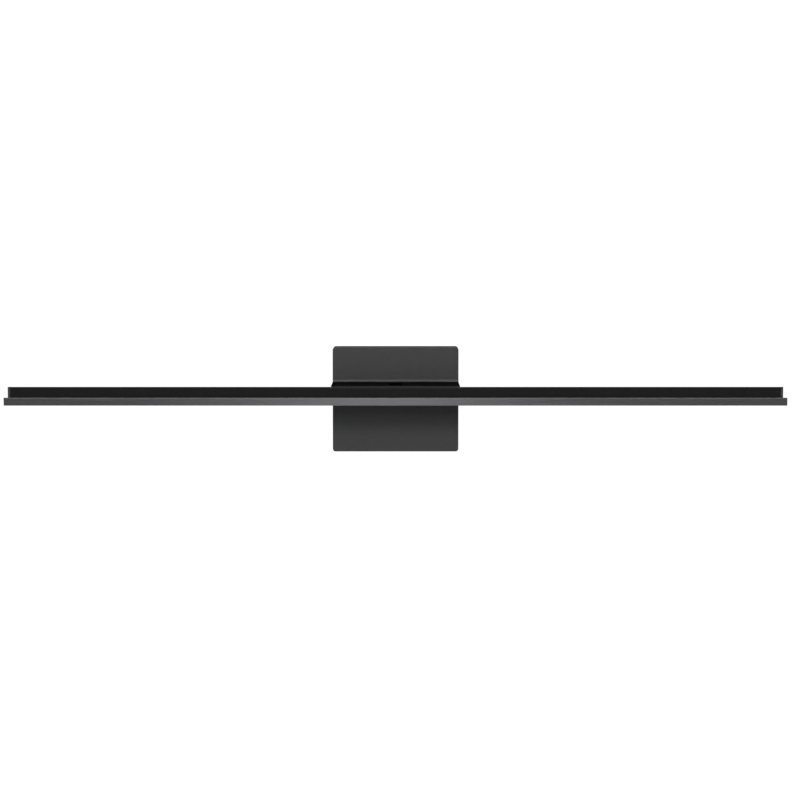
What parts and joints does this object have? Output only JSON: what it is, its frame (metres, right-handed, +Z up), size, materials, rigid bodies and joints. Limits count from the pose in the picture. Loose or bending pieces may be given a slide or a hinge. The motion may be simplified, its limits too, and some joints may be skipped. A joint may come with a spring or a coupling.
{
  "type": "vanity light bar",
  "caption": "Wall-mounted LED vanity light bar with a rectangular canopy, a flat arm and a long slim bar that shines down through an opal diffuser.",
  "frame": {"origin": "centre of the canopy's back, on the wall plane", "axes": "+X along the bar, +Z up, the light stands out from the wall towards -Y"},
  "size_m": [0.8, 0.087, 0.1098],
  "materials": {
    "black_powder_coat": "satin fine-texture powder coat",
    "black_matte_coat": "matte powder coat on extruded aluminium",
    "grey_anodised": "satin dark-grey anodised",
    "zinc_steel": "zinc plated sheet",
    "black_screw": "black oxide",
    "zinc_screw": "bright zinc plated",
    "brass": "tinned",
    "black_plastic": "moulded nylon",
    "white_plastic": "moulded polycarbonate",
    "opal_diffuser": "opal acrylic, extruded",
    "white_sheet": "white reflective film",
    "board_white": "white solder mask on an aluminium core board",
    "board_green": "green solder mask on glass fibre",
    "led_package": "phosphor in a white package",
    "ferrite": "wound core in yellow tape",
    "capacitor_sleeve": "printed sleeve, plain",
    "thermal_tape": "soft filled tape",
    "black_rubber": "moulded silicone",
    "foam": "closed-cell foam",
    "sheath_black": "wire insulation",
    "sheath_brown": "wire insulation",
    "sheath_blue": "wire insulation",
    "sheath_green": "wire insulation"
  },
  "bodies": {
    "root": {"wall_plate": "zinc_steel", "wall_gasket": "foam", "canopy_cover": "black_powder_coat", "canopy_screws": "black_screw", "terminal_block": "white_plastic", "terminal_screws": "zinc_screw", "ground_screw": "zinc_screw", "ground_ring": "brass", "live_lead": "sheath_brown", "neutral_lead": "sheath_blue", "earth_lead": "sheath_green", "driver_base": "white_plastic", "driver_lid": "white_plastic", "driver_bushings": "black_rubber", "driver_board": "board_green", "driver_transformer": "ferrite", "driver_capacitors": "capacitor_sleeve", "driver_screws": "zinc_screw", "arm_backing_plate": "zinc_steel", "arm_root_screws": "zinc_screw", "arm_grommet": "black_rubber", "arm_body": "black_powder_coat", "arm_bottom_cover": "black_powder_coat", "arm_cover_screws": "black_screw", "slot_insert": "black_plastic", "bar_screws": "zinc_screw", "light_housing": "black_matte_coat", "front_bezel": "grey_anodised", "end_cap_left": "black_powder_coat", "end_cap_right": "black_powder_coat", "end_cap_gaskets": "black_rubber", "end_cap_screws": "black_screw", "diffuser": "opal_diffuser", "led_board_left": "board_white", "led_board_right": "board_white", "thermal_tapes": "thermal_tape", "led_chips": "led_package", "board_link": "white_plastic", "reflector": "white_sheet", "cable_plug": "black_plastic", "led_cable": "sheath_black"}
  },
  "joints": []
}
